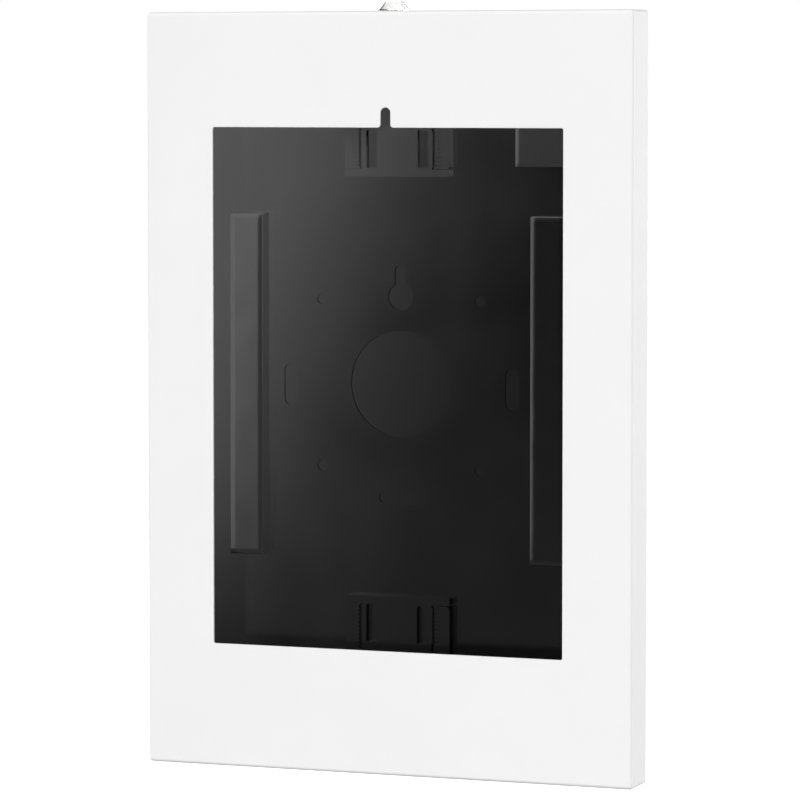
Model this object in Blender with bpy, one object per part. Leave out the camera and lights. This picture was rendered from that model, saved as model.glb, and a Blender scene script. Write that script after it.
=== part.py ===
"""Tablet wall mount: a white folded steel cover with a window, hinged at its foot on a black back plate.

The back plate goes on the wall through a 75 mm screw pattern. It carries two toothed clamps that slide
up and down to grip the tablet's ends, and two foam strips behind the tablet. A cam lock in the top of
the cover turns its finger behind a catch on the plate.

Frame: metres, +Z up, +X to the right of someone who faces the mount, +Y into the wall. The wall is the
plane y = 0. The origin is on the back face of the plate, midway between the two lower screw holes.
"""

import math

import bmesh
import bpy
from mathutils import Matrix

# Case
case_width = 0.230
case_height = 0.339
case_depth = 0.021
seat_gap = 0.0003  # between two pieces that rest on each other

# Cover: one folded sheet
cover_sheet = 0.0012
cover_fold = 0.0016  # outside radius of its folds
cover_wall_gap = 0.001  # from its back edges to the wall
foot_cutback = 0.004  # how much shorter the foot flange is than the others
ear_relief = 0.0005  # from the foot flange's reliefs to the hinge ears
relief_reach = 0.0015  # how far the reliefs run past the ears
window_width = 0.1655
window_height = 0.2322
window_rise = 0.002  # window's middle above the case's middle
window_corner = 0.0008
notch_width = 0.0047  # camera notch over the window
notch_height = 0.0089
notch_fillet = 0.0014

# Back plate: one sheet with a flange down each side
plate_sheet = 0.0015
plate_fold = 0.0025
plate_side_gap = 0.0018  # from its flanges to the cover's side walls
plate_top_gap = 0.0013  # from its top edge to the cover's top flange
flange_depth = 0.008  # from the wall
rest_ear_height = 0.018  # stretch at the top that is deep enough to carry the cover's face
ear_corner = 0.0025
screw_pattern = 0.075
pattern_rise = 0.0037  # pattern's middle above the case's middle
pattern_hole = 0.0052
cable_hole = 0.0477
keyhole_round = 0.012
keyhole_slot = 0.0057
keyhole_rise = 0.0389  # from the pattern's middle to the keyhole's round part
keyhole_reach = 0.0115  # from there to the middle of the slot's round end
tie_slot_width = 0.0068  # slots beside the cable hole
tie_slot_height = 0.019
tie_slot_gap = 0.00745  # from the slot to the foam strip
tie_slot_drop = 0.0014
foot_slot_width = 0.021
foot_slot_height = 0.0054
foot_slot_drop = 0.0511

# Hinge
hinge_height = 0.0046  # above the case's bottom
hinge_setback = 0.0118  # from the wall
hinge_pin = 0.003
hinge_clearance = 0.0002
ear_wall = 0.0013  # metal round the pin's hole
hinge_ear_height = 0.016
stud_collar = 0.0065
stud_collar_thickness = 0.001
stud_length = 0.0065
stud_chamfer = 0.0004

# Lock
lock_setback = 0.010  # from the cover's face
bezel_base = 0.0143
bezel_top = 0.0091
bezel_height = 0.0038
bezel_rim = 0.0005
barrel = 0.0116
barrel_flat = 0.0104  # across the barrel's two flats
barrel_length = 0.014  # below the cover's sheet
barrel_clearance = 0.0002
plug = 0.0064
plug_clearance = 0.0002
plug_recess = 0.0004
keyway_width = 0.0011
keyway_length = 0.0046
keyway_depth = 0.006
nut_across = 0.015
nut_height = 0.003
cam_gap = 0.0006  # from the barrel's end to the cam
cam_sheet = 0.002
cam_hub = 0.0092
cam_square = 0.004
cam_clearance = 0.0002
finger_near = 0.006  # from the lock's axis
finger_sheet = 0.0018
finger_width = 0.005
finger_drop = 0.006
cam_screw = 0.0024
cam_screw_head = 0.0056
cam_screw_head_height = 0.0018
cam_screw_length = 0.0045

# Catch
catch_sheet = 0.0015
catch_near = 0.0037  # from the lock's axis to the post
catch_bend = 0.0006  # inside radius
post_width = 0.0044
post_gap = 0.0006  # under the cam
shelf_gap = 0.0006  # under the finger
catch_width = 0.023
catch_height = 0.0115
rivet = 0.0032
rivet_spread = 0.0075
rivet_height = 0.0055  # above the catch's lower edge
rivet_head = 0.0058
rivet_head_height = 0.0013
rivet_dome = ((1, 0), (0.92, 0.55), (0.6, 0.9), (0, 1))  # in half widths and heights of the head

# Foam strips and pad
bay_rise = 0.0025  # tablet bay's middle above the case's middle
strip_width = 0.0161
strip_length = 0.154
strip_thickness = 0.0075
strip_inset = 0.03235  # from the plate's side
strip_edge = 0.0006
pad_side_inset = 0.0176  # from the plate's side
pad_top_inset = 0.0287  # from the case's top
pad_width = 0.040
pad_height = 0.040
pad_thickness = 0.0012

# Clamps
clamp_width = 0.050
clamp_face = 0.0050  # from the plate to the clamp's face
end_bar = 0.0032
end_bar_corner = 0.0008
rail_gap = 0.0003  # from the end bar to the rail
rail_length = 0.0332
rail_end_gap = 0.0006  # from the top rail's end to the lock's catch
rail_floor = 0.0012
rail_corner = 0.0015
running_gap = 0.0003
slider_width = 0.0348  # over the teeth
slider_flange = 0.039
slider_flange_sheet = 0.0012
tooth_pitch = 0.0018
tooth_depth = 0.0009
first_tooth = 0.0006  # from the rail's near end
slot_inner = 0.0095
slot_outer = 0.0147
slot_start = 0.0006  # from the end bar to the slot
slot_length = 0.0167
slot_corner = 0.0006
mark_gap = 0.0004  # from the teeth to the index marks
mark_length = 0.0022
mark_width = 0.0006
mark_depth = 0.0005
rail_ear_spread = 0.0285
rail_ear_inset = 0.0065  # from the rail's end to the ear's middle
rail_ear = 0.010
rail_ear_sheet = 0.0025
jaw_sheet = 0.003
jaw_width = 0.032
jaw_height = 0.0165  # from the plate to the jaw's nose
jaw_root = 0.0015
nose_length = 0.0024
nose_sheet = 0.0016
jaw_pad_sheet = 0.0015
jaw_pad_inset = 0.0015
jaw_pad_ribs = 11
jaw_pad_groove = 0.0006  # how deep the grooves between its ribs are

# Rail screws
rail_screw = 0.003
rail_screw_head = 0.0055
rail_screw_head_height = 0.0018
socket_across = 0.002
socket_depth = 0.0011
screw_dome = ((1, 0), (1, 0.35), (0.84, 0.8), (0.6, 1), (0, 1))  # as for the rivets
fixing_clearance = 0.0002
fixing_end_gap = 0.0003  # from a fixing's end to the wall

# Levels that several pieces share
pattern_middle = screw_pattern / 2
case_middle = pattern_middle - pattern_rise
case_top = case_middle + case_height / 2
case_foot = case_middle - case_height / 2
window_middle = case_middle + window_rise
face_y = -case_depth
seat_y = -plate_sheet - seat_gap
clamp_face_y = -plate_sheet - clamp_face
plate_half = case_width / 2 - cover_sheet - plate_side_gap
lock_y = face_y + lock_setback
barrel_foot = case_top - cover_sheet - barrel_length
cam_foot = barrel_foot - cam_gap - cam_sheet
finger_foot = cam_foot - finger_drop
shelf_top = finger_foot - shelf_gap
catch_foot = shelf_top - catch_height
rivet_z = catch_foot + rivet_height
pad_top = case_top - pad_top_inset
strip_middle = plate_half - strip_inset - strip_width / 2
tie_slot_middle = strip_middle - strip_width / 2 - tie_slot_gap - tie_slot_width / 2
hinge_y = -hinge_setback
hinge_z = case_foot + hinge_height
hinge_lobe = hinge_pin / 2 + hinge_clearance + ear_wall

# Reaches along the clamps, outwards from the middle of the tablet's bay
bay_middle = case_middle + bay_rise
rail_end_reach = catch_foot - rail_end_gap - bay_middle
rail_near = rail_end_reach - rail_length
clamp_reach = rail_near - rail_gap - end_bar
slot_near = clamp_reach + end_bar + slot_start
jaw_reach = rail_end_reach - jaw_sheet
rail_teeth = int((rail_length - 2 * first_tooth) / tooth_pitch)
slider_teeth = int(slot_length / tooth_pitch)  # along its spring arms

# Modelling
overcut = 0.001  # how far a cutter runs past what it cuts
lap = 0.0004  # how far welded shapes run into each other
joint_marker = 0.01


def finish(name, colour, roughness, metallic=0.0):
    """A plain material."""
    made = bpy.data.materials.new(name)
    made.use_nodes = True
    shader = made.node_tree.nodes["Principled BSDF"]
    shader.inputs["Base Color"].default_value = (*colour, 1.0)
    shader.inputs["Roughness"].default_value = roughness
    shader.inputs["Metallic"].default_value = metallic
    return made


def make_object(name, shape, smooth_angle=None):
    """An object from a bmesh, with its faces pointing out."""
    bmesh.ops.recalc_face_normals(shape, faces=shape.faces)
    mesh = bpy.data.meshes.new(name)
    shape.to_mesh(mesh)
    shape.free()
    if smooth_angle:
        mesh.shade_smooth()
        mesh.set_sharp_from_angle(angle=math.radians(smooth_angle))
    made = bpy.data.objects.new(name, mesh)
    bpy.context.scene.collection.objects.link(made)
    return made


def prism(name, outline, axis, low, high, smooth_angle=None):
    """An outline pushed along an axis. It lies in (y, z) for X, (x, z) for Y and (x, y) for Z."""
    places = {
        "X": lambda a, b: (low, a, b),
        "Y": lambda a, b: (a, low, b),
        "Z": lambda a, b: (a, b, low),
    }
    ways = {"X": (high - low, 0, 0), "Y": (0, high - low, 0), "Z": (0, 0, high - low)}
    shape = bmesh.new()
    face = shape.faces.new([shape.verts.new(places[axis](a, b)) for a, b in outline])
    pushed = bmesh.ops.extrude_face_region(shape, geom=[face])["geom"]
    moved = [v for v in pushed if isinstance(v, bmesh.types.BMVert)]
    bmesh.ops.translate(shape, verts=moved, vec=ways[axis])
    return make_object(name, shape, smooth_angle)


def blocks(name, boxes):
    """Separate boxes in one object, each a (low, high) pair along X, Y and Z."""
    shape = bmesh.new()
    for spans in boxes:
        for corner in bmesh.ops.create_cube(shape, size=1.0)["verts"]:
            corner.co = [high if side > 0 else low for side, (low, high) in zip(corner.co, spans)]
    return make_object(name, shape)


def turned(name, profile, centre, turn=(0, "X"), steps=36):
    """A (radius, height) profile from axis to axis, spun about the vertical, then turned by degrees."""
    shape = bmesh.new()
    corners = [shape.verts.new((radius, 0, height)) for radius, height in profile]
    edges = [shape.edges.new(pair) for pair in zip(corners, corners[1:])]
    bmesh.ops.spin(
        shape, geom=corners + edges, cent=(0, 0, 0), axis=(0, 0, 1), angle=math.tau, steps=steps
    )
    bmesh.ops.remove_doubles(shape, verts=shape.verts, dist=1e-6)
    bmesh.ops.rotate(
        shape, verts=shape.verts, cent=(0, 0, 0), matrix=Matrix.Rotation(math.radians(turn[0]), 3, turn[1])
    )
    bmesh.ops.translate(shape, verts=shape.verts, vec=centre)
    return make_object(name, shape, 35)


def arc(centre, radius, start, end, steps):
    """Points along an arc, from start to end in degrees."""
    turns = [math.radians(start + (end - start) * i / steps) for i in range(steps + 1)]
    return [(centre[0] + radius * math.cos(t), centre[1] + radius * math.sin(t)) for t in turns]


def ring(centre, diameter, steps=36):
    """A round outline."""
    return arc(centre, diameter / 2, 0, 360, steps)[:-1]


def rounded(x, z, radius, steps=4):
    """A rectangle's outline with round corners, between the two values of x and of z."""
    left, right = x
    low, high = sorted(z)
    return (
        arc((right - radius, high - radius), radius, 0, 90, steps)
        + arc((left + radius, high - radius), radius, 90, 180, steps)
        + arc((left + radius, low + radius), radius, 180, 270, steps)
        + arc((right - radius, low + radius), radius, 270, 360, steps)
    )


def pill(centre, width, height, steps=12):
    """A slot's outline with round ends, upright or lying."""
    x, z = centre
    radius = min(width, height) / 2
    run = max(width, height) / 2 - radius
    if height > width:
        return arc((x, z + run), radius, 0, 180, steps) + arc((x, z - run), radius, 180, 360, steps)
    return arc((x + run, z), radius, -90, 90, steps) + arc((x - run, z), radius, 90, 270, steps)


def flatted_round(radius, flat, steps=10):
    """A round outline about the lock's axis with a flat at its front and back."""
    lean = math.degrees(math.asin(flat / radius))
    axis = (0, lock_y)
    return arc(axis, radius, -lean, lean, steps) + arc(axis, radius, 180 - lean, 180 + lean, steps)


def combine(target, tool, operation):
    """A live Boolean on target. The tool is a guide that follows it."""
    step = target.modifiers.new(tool.name, "BOOLEAN")
    step.operation = operation
    step.solver = "EXACT"
    step.object = tool
    tool.hide_render = True
    tool.display_type = "WIRE"
    tool.parent = target
    return target


def cut(target, tool):
    return combine(target, tool, "DIFFERENCE")


def weld(target, tool):
    return combine(target, tool, "UNION")


def front_cover():
    """An open box with round folds, thickened inwards, then pierced for the window and the lock."""
    back_y = -cover_wall_gap
    low = (-case_width / 2, face_y, case_foot)
    high = (case_width / 2, back_y, case_top)
    shape = bmesh.new()
    for corner in bmesh.ops.create_cube(shape, size=1.0)["verts"]:
        corner.co = [b if side > 0 else a for side, a, b in zip(corner.co, low, high)]
    shape.normal_update()
    open_side = max(shape.faces, key=lambda face: face.normal.y)
    bmesh.ops.delete(shape, geom=[open_side], context="FACES")
    folds = [edge for edge in shape.edges if not edge.is_boundary]
    bmesh.ops.bevel(
        shape, geom=folds, offset=cover_fold, segments=4, profile=0.5, affect="EDGES"
    )
    cover = make_object("front_cover", shape, 30)
    walls = cover.modifiers.new("sheet", "SOLIDIFY")
    walls.thickness = cover_sheet
    walls.offset = -1
    walls.use_even_offset = True

    cut(cover, prism("window", window_outline(), "Y", face_y - overcut, face_y + cover_sheet + overcut, 40))
    hole = flatted_round(barrel / 2 + barrel_clearance, barrel_flat / 2 + barrel_clearance)
    cut(cover, prism("lock_hole", hole, "Z", case_top - cover_sheet - overcut, case_top + overcut, 40))
    waste = foot_edge(back_y)
    return cut(cover, prism("foot_cut", waste, "Z", case_foot - overcut, case_foot + 2 * cover_sheet))


def foot_edge(back_y):
    """What is cut from the foot flange's back edge: a low step, and a relief at each hinge ear."""
    ear_out = plate_half + ear_relief
    ear_in = plate_half - plate_sheet - ear_relief
    step_y = back_y - foot_cutback
    relief_y = hinge_y - hinge_lobe - relief_reach
    half = [(ear_in, step_y), (ear_in, relief_y), (ear_out, relief_y), (ear_out, back_y + overcut)]
    return half + [(-x, y) for x, y in half[::-1]]


def window_outline():
    """The window with the camera notch over it."""
    side = window_width / 2 - window_corner
    high = window_middle + window_height / 2
    low = window_middle - window_height / 2 + window_corner
    slit = notch_width / 2
    flare = slit + notch_fillet
    return (
        arc((side, high - window_corner), window_corner, 0, 90, 4)
        + arc((flare, high + notch_fillet), notch_fillet, 270, 180, 5)
        + arc((0, high + notch_height - slit), slit, 0, 180, 14)
        + arc((-flare, high + notch_fillet), notch_fillet, 0, -90, 5)
        + arc((-side, high - window_corner), window_corner, 90, 180, 4)
        + arc((-side, low), window_corner, 180, 270, 4)
        + arc((side, low), window_corner, 270, 360, 4)
    )


def back_plate():
    """A U-shaped sheet. Its flanges are trimmed to a hinge ear at the foot and a rest ear at the top."""
    top = case_top - cover_sheet - plate_top_gap
    foot = hinge_z - hinge_lobe
    deep = face_y + cover_sheet + seat_gap
    bend = (plate_half - plate_fold, -plate_fold)
    outside = [(plate_half, deep)] + arc(bend, plate_fold, 0, 90, 5)
    inside = [(plate_half - plate_sheet, deep)] + arc(bend, plate_fold - plate_sheet, 0, 90, 5)
    section = outside + [(-x, y) for x, y in outside[::-1]] + [(-x, y) for x, y in inside] + inside[::-1]
    plate = prism("back_plate", section, "Z", foot, top, 30)

    ear_top = foot + hinge_ear_height
    ear_y = hinge_y - hinge_lobe + ear_corner
    rest_foot = top - rest_ear_height
    under = foot - overcut
    trim = (
        [(deep - overcut, rest_foot + ear_corner), (deep - overcut, under), (hinge_y, under)]
        + arc((hinge_y, hinge_z), hinge_lobe, 270, 180, 8)
        + arc((ear_y, ear_top - ear_corner), ear_corner, 180, 90, 5)
        + [(-flange_depth, ear_top), (-flange_depth, rest_foot)]
        + arc((deep + ear_corner, rest_foot + ear_corner), ear_corner, 270, 180, 5)
    )
    across = (-plate_half - overcut, plate_half + overcut)
    cut(plate, prism("flange_trim", trim, "X", *across, 40))
    pin_hole = ring((hinge_y, hinge_z), hinge_pin + 2 * hinge_clearance, 24)
    cut(plate, prism("hinge_holes", pin_hole, "X", *across, 40))
    for name, outline in plate_holes():
        cut(plate, prism(name, outline, "Y", -plate_sheet - overcut, overcut, 40))
    return plate


def plate_holes():
    """Every hole through the back plate, as a name and an outline in (x, z)."""
    half = screw_pattern / 2
    for x in (-half, half):
        for z in (-half, half):
            yield "pattern_hole", ring((x, pattern_middle + z), pattern_hole, 24)
        side = math.copysign(tie_slot_middle, x)
        yield "tie_slot", pill((side, pattern_middle - tie_slot_drop), tie_slot_width, tie_slot_height)
    yield "cable_hole", ring((0, pattern_middle), cable_hole, 72)
    yield "keyhole", keyhole_outline()
    yield "foot_slot", pill((0, pattern_middle - foot_slot_drop), foot_slot_width, foot_slot_height)
    for place in fixing_places("top") + fixing_places("bottom"):
        yield "screw_hole", ring(place, rail_screw + 2 * fixing_clearance, 20)
    for side in (-1, 1):
        yield "rivet_hole", ring((side * rivet_spread, rivet_z), rivet + 2 * fixing_clearance, 20)


def keyhole_outline():
    """A round hole with a narrower slot over it."""
    middle = pattern_middle + keyhole_rise
    lean = math.degrees(math.asin(keyhole_slot / keyhole_round))
    slot_end = (0, middle + keyhole_reach)
    return arc(slot_end, keyhole_slot / 2, 0, 180, 10) + arc(
        (0, middle), keyhole_round / 2, 90 + lean, 450 - lean, 24
    )


def lock_housing():
    """A tapered bezel on the cover with a flatted barrel below it, bored for the plug."""
    seat = case_top + seat_gap
    bezel = [
        (0, seat),
        (bezel_base / 2, seat),
        (bezel_base / 2, seat + bezel_rim),
        (bezel_top / 2, seat + bezel_height),
        (0, seat + bezel_height),
    ]
    housing = turned("lock_housing", bezel, (0, lock_y, 0), steps=48)
    outline = flatted_round(barrel / 2, barrel_flat / 2)
    weld(housing, prism("barrel", outline, "Z", barrel_foot, seat + lap, 40))
    bore = ring((0, lock_y), plug + 2 * plug_clearance)
    return cut(housing, prism("bore", bore, "Z", barrel_foot - overcut, seat + bezel_height + overcut, 40))


def lock_plug():
    """The part that the key turns, with a square tail for the cam and a tapped end."""
    top = case_top + seat_gap + bezel_height - plug_recess
    shoulder = barrel_foot - seat_gap
    tail_foot = cam_foot + seat_gap
    half = cam_square / 2
    rotor = prism("lock_plug", ring((0, lock_y), plug), "Z", shoulder, top, 40)
    tail = ((-half, half), (lock_y - half, lock_y + half), (tail_foot, shoulder + lap))
    weld(rotor, blocks("tail", [tail]))
    width, length = keyway_width / 2, keyway_length / 2
    keyway = ((-length, length), (lock_y - width, lock_y + width), (top - keyway_depth, top + overcut))
    cut(rotor, blocks("keyway", [keyway]))
    tapped = ring((0, lock_y), cam_screw + 2 * fixing_clearance, 20)
    tapped_top = tail_foot + cam_screw_length
    return cut(rotor, prism("tapped_hole", tapped, "Z", tail_foot - overcut, tapped_top, 40))


def lock_nut():
    """A thin hexagon nut that draws the barrel up against the cover's top."""
    top = case_top - cover_sheet - seat_gap
    hexagon = ring((0, lock_y), nut_across / math.cos(math.pi / 6), 6)
    nut = prism("lock_nut", hexagon, "Z", top - nut_height, top)
    hole = ring((0, lock_y), barrel + 2 * barrel_clearance)
    return cut(nut, prism("thread", hole, "Z", top - nut_height - overcut, top + overcut, 40))


def lock_cam():
    """A hub on the plug's square tail, with an arm whose end is folded down as a finger."""
    far = finger_near + finger_sheet
    half = finger_width / 2
    lean = math.degrees(math.asin(finger_width / cam_hub))
    outline = arc((0, lock_y), cam_hub / 2, lean, 360 - lean, 20)
    outline += [(far, lock_y - half), (far, lock_y + half)]
    cam = prism("lock_cam", outline, "Z", cam_foot, cam_foot + cam_sheet, 40)
    finger = ((finger_near, far), (lock_y - half, lock_y + half), (finger_foot, cam_foot + lap))
    weld(cam, blocks("finger", [finger]))
    hole = cam_square / 2 + cam_clearance
    square = ((-hole, hole), (lock_y - hole, lock_y + hole), (cam_foot - overcut, cam_foot + 2 * cam_sheet))
    return cut(cam, blocks("square_hole", [square]))


def lock_catch():
    """A riveted strap bent forward and up, so that its post stands in front of the turned finger."""
    front = lock_y + catch_near
    back = front + catch_sheet
    base_front = seat_y - catch_sheet
    shelf_foot = shelf_top - catch_sheet
    outer = catch_bend + catch_sheet
    section = (
        [(seat_y, catch_foot)]
        + arc((seat_y - outer, shelf_top - outer), outer, 0, 90, 4)
        + arc((back + catch_bend, shelf_top + catch_bend), catch_bend, 270, 180, 3)
        + [(back, cam_foot - post_gap), (front, cam_foot - post_gap)]
        + arc((front + outer, shelf_foot + outer), outer, 180, 270, 4)
        + arc((base_front - catch_bend, shelf_foot - catch_bend), catch_bend, 90, 0, 3)
        + [(base_front, catch_foot)]
    )
    half = catch_width / 2
    catch = prism("lock_catch", section, "X", -half, half, 40)
    side_y = (front - overcut, base_front)
    side_z = (shelf_foot - catch_bend, cam_foot)
    waste = [((post_width / 2, half + overcut), side_y, side_z)]
    waste += [((-half - overcut, -post_width / 2), side_y, side_z)]
    cut(catch, blocks("post_sides", waste))
    for side in (-1, 1):
        hole = ring((side * rivet_spread, rivet_z), rivet + 2 * fixing_clearance, 20)
        cut(catch, prism("rivet_seat", hole, "Y", base_front - overcut, seat_y + overcut, 40))
    return catch


def hinge_stud(name, side):
    """A collared pin fixed inside the cover's side wall. It points inwards through the hinge ear."""
    collar = stud_collar / 2
    pin = hinge_pin / 2
    profile = [
        (0, 0),
        (collar, 0),
        (collar, stud_collar_thickness),
        (pin, stud_collar_thickness),
        (pin, stud_length - stud_chamfer),
        (pin - stud_chamfer, stud_length),
        (0, stud_length),
    ]
    wall_x = case_width / 2 - cover_sheet - seat_gap
    return turned(name, profile, (side * wall_x, hinge_y, hinge_z), (-90 * side, "Y"), steps=24)


def clamp_z(end, reach):
    """Height of a reach on the top or the bottom clamp."""
    return bay_middle + (reach if end == "top" else -reach)


def clamp_span(end, near, far):
    """Both heights of a stretch of a clamp, low one first."""
    return tuple(sorted((clamp_z(end, near), clamp_z(end, far))))


def toothed(end, half, depth, teeth, near, far):
    """An outline in (x, z) with the same teeth down both sides. It is half wide between the teeth."""
    start = rail_near + first_tooth
    edge = [(half, near), (half, start)]
    for i in range(teeth):
        reach = start + i * tooth_pitch
        edge += [(half + depth, reach + tooth_pitch / 2), (half, reach + tooth_pitch)]
    edge += [(half, far)]
    return [(x, clamp_z(end, reach)) for x, reach in edge + [(-x, reach) for x, reach in edge[::-1]]]


def clamp_rail(end):
    """A channel with inward teeth, fixed to the plate by two ears. The slider runs in its groove."""
    side = clamp_width / 2
    body = rounded((-side, side), clamp_span(end, rail_near, rail_end_reach), rail_corner)
    rail = prism(f"{end}_clamp_rail", body, "Y", clamp_face_y, seat_y, 40)
    ear_half = rail_ear_spread + rail_ear / 2
    ear_reach = rail_end_reach - rail_ear_inset
    ear_z = clamp_span(end, ear_reach - rail_ear / 2, ear_reach + rail_ear / 2)
    ears = rounded((-ear_half, ear_half), ear_z, rail_corner)
    weld(rail, prism("ears", ears, "Y", seat_y - rail_ear_sheet, seat_y, 40))

    floor_y = seat_y - rail_floor
    groove_y = floor_y - slider_flange_sheet - 2 * running_gap
    groove_x = slider_flange / 2 + running_gap
    long = clamp_span(end, rail_near - overcut, rail_end_reach + overcut)
    cut(rail, blocks("groove", [((-groove_x, groove_x), (groove_y, floor_y), long)]))
    crest = slider_width / 2 + running_gap
    channel = toothed(end, crest, tooth_depth, rail_teeth, rail_near - overcut, rail_end_reach + overcut)
    cut(rail, prism("channel", channel, "Y", clamp_face_y - overcut, groove_y + lap))
    cut(rail, blocks("index_marks", index_marks(end, crest + tooth_depth + mark_gap)))
    for place in fixing_places(end):
        hole = ring(place, rail_screw + 2 * fixing_clearance, 20)
        cut(rail, prism("screw_seat", hole, "Y", seat_y - rail_ear_sheet - overcut, seat_y + overcut, 40))
    return rail


def index_marks(end, start):
    """Shallow grooves in the rail's face, one beside each tooth that the window shows."""
    for i in range(slider_teeth):
        reach = rail_near + first_tooth + (i + 0.5) * tooth_pitch
        z = clamp_span(end, reach - mark_width / 2, reach + mark_width / 2)
        for x in ((start, start + mark_length), (-start - mark_length, -start)):
            yield x, (clamp_face_y - overcut, clamp_face_y + mark_depth), z


def clamp_slider(end):
    """The moving half: a grooved tongue with two toothed spring arms, an end bar and the jaw."""
    half = slider_width / 2 - tooth_depth
    back_y = seat_y - rail_floor - running_gap
    flange_y = back_y - slider_flange_sheet
    start = clamp_reach + end_bar / 2
    stop = jaw_reach + jaw_sheet / 2
    tongue = toothed(end, half, tooth_depth, slider_teeth, start, stop)
    slider = prism(f"{end}_clamp_slider", tongue, "Y", clamp_face_y, flange_y + lap)
    flange_x = slider_flange / 2
    flange = ((-flange_x, flange_x), (flange_y, back_y), clamp_span(end, start, stop))
    weld(slider, blocks("slider_flange", [flange]))
    side = clamp_width / 2
    bar = rounded((-side, side), clamp_span(end, clamp_reach, clamp_reach + end_bar), end_bar_corner)
    weld(slider, prism("end_bar", bar, "Y", clamp_face_y, seat_y, 40))
    weld(slider, prism("jaw", jaw_section(end, back_y), "X", -jaw_width / 2, jaw_width / 2, 40))
    for x in ((slot_inner, slot_outer), (-slot_outer, -slot_inner)):
        slot = rounded(x, clamp_span(end, slot_near, slot_near + slot_length), slot_corner, 2)
        cut(slider, prism("arm_slot", slot, "Y", clamp_face_y - overcut, back_y + overcut))
    return slider


def jaw_section(end, back_y):
    """The jaw in (y, z): a lip with a nose that hooks over the tablet's edge."""
    nose_y = -plate_sheet - jaw_height
    far = jaw_reach + jaw_sheet
    root = (clamp_face_y - jaw_root, jaw_reach - jaw_root)
    outline = (
        [(back_y, far), (nose_y, far), (nose_y, jaw_reach - nose_length)]
        + [(nose_y + nose_sheet, jaw_reach - nose_length), (nose_y + nose_sheet, jaw_reach)]
        + arc(root, jaw_root, 90, 0, 4)
        + [(back_y, jaw_reach - jaw_root)]
    )
    return [(y, clamp_z(end, reach)) for y, reach in outline]


def jaw_pad(end):
    """A ribbed rubber facing on the inner side of the jaw."""
    half = jaw_width / 2 - jaw_pad_inset
    far = jaw_reach - seat_gap
    near = far - jaw_pad_sheet
    pitch = 2 * half / jaw_pad_ribs
    edge = [(half, far), (half, near)]
    for i in range(1, jaw_pad_ribs):
        x = half - i * pitch
        edge += [(x + pitch / 4, near), (x, near + jaw_pad_groove), (x - pitch / 4, near)]
    edge += [(-half, near), (-half, far)]
    outline = [(x, clamp_z(end, reach)) for x, reach in edge]
    front = -plate_sheet - jaw_height + nose_sheet + seat_gap
    return prism(f"{end}_jaw_pad", outline, "Y", front, clamp_face_y - jaw_root - seat_gap)


def fixing_places(end):
    """Where the screws go through one rail's ears, in (x, z)."""
    return [(side * rail_ear_spread, clamp_z(end, rail_end_reach - rail_ear_inset)) for side in (-1, 1)]


def headed(shank, length, head, head_height, dome):
    """The profile of an upright shank below z = 0 with a head over it."""
    stem = [(0, -length), (shank / 2, -length), (shank / 2, 0)]
    return stem + [(across * head / 2, up * head_height) for across, up in dome]


def socket_screw(name, place, shank, head, head_height, seat, length, turn):
    """A button-head screw with a hexagon socket. It is made upright on its seat, then turned."""
    profile = headed(shank, length, head, head_height, screw_dome)
    screw = turned(name, profile, (0, 0, 0), steps=24)
    socket = ring((0, 0), socket_across / math.cos(math.pi / 6), 6)
    cut(screw, prism("socket", socket, "Z", head_height - socket_depth, head_height + overcut))
    screw.rotation_euler[0] = math.radians(turn)
    screw.location = (place[0], seat, place[1])
    return screw


def rivet_piece(name, side):
    """A domed rivet through the catch and the plate."""
    seat = seat_y - catch_sheet - seat_gap
    profile = headed(rivet, -seat - fixing_end_gap, rivet_head, rivet_head_height, rivet_dome)
    return turned(name, profile, (side * rivet_spread, seat, rivet_z), (90, "X"), steps=24)


def foam_block(name, x, z, thickness):
    """Foam stuck on the plate, its front edges slightly rounded."""
    y = (seat_y - thickness, seat_y)
    foam = blocks(name, [(x, y, z)])
    edge = foam.modifiers.new("edge", "BEVEL")
    edge.width = strip_edge
    edge.segments = 2
    return foam


def joint(name, place, parent=None):
    """An empty on a joint's axis."""
    made = bpy.data.objects.new(name, None)
    made.empty_display_size = joint_marker
    bpy.context.scene.collection.objects.link(made)
    made.location = place
    if parent:
        made.parent = parent
        made.location = [a - b for a, b in zip(place, parent.location)]
    return made


def hang(pieces, holder, place):
    """Pieces follow the empty, which stands at place, and keep their own place."""
    for piece in pieces:
        piece.parent = holder
        piece.location = [a - b for a, b in zip(piece.location, place)]


def dress(pieces, material):
    for piece in pieces:
        piece.data.materials.append(material)


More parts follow.
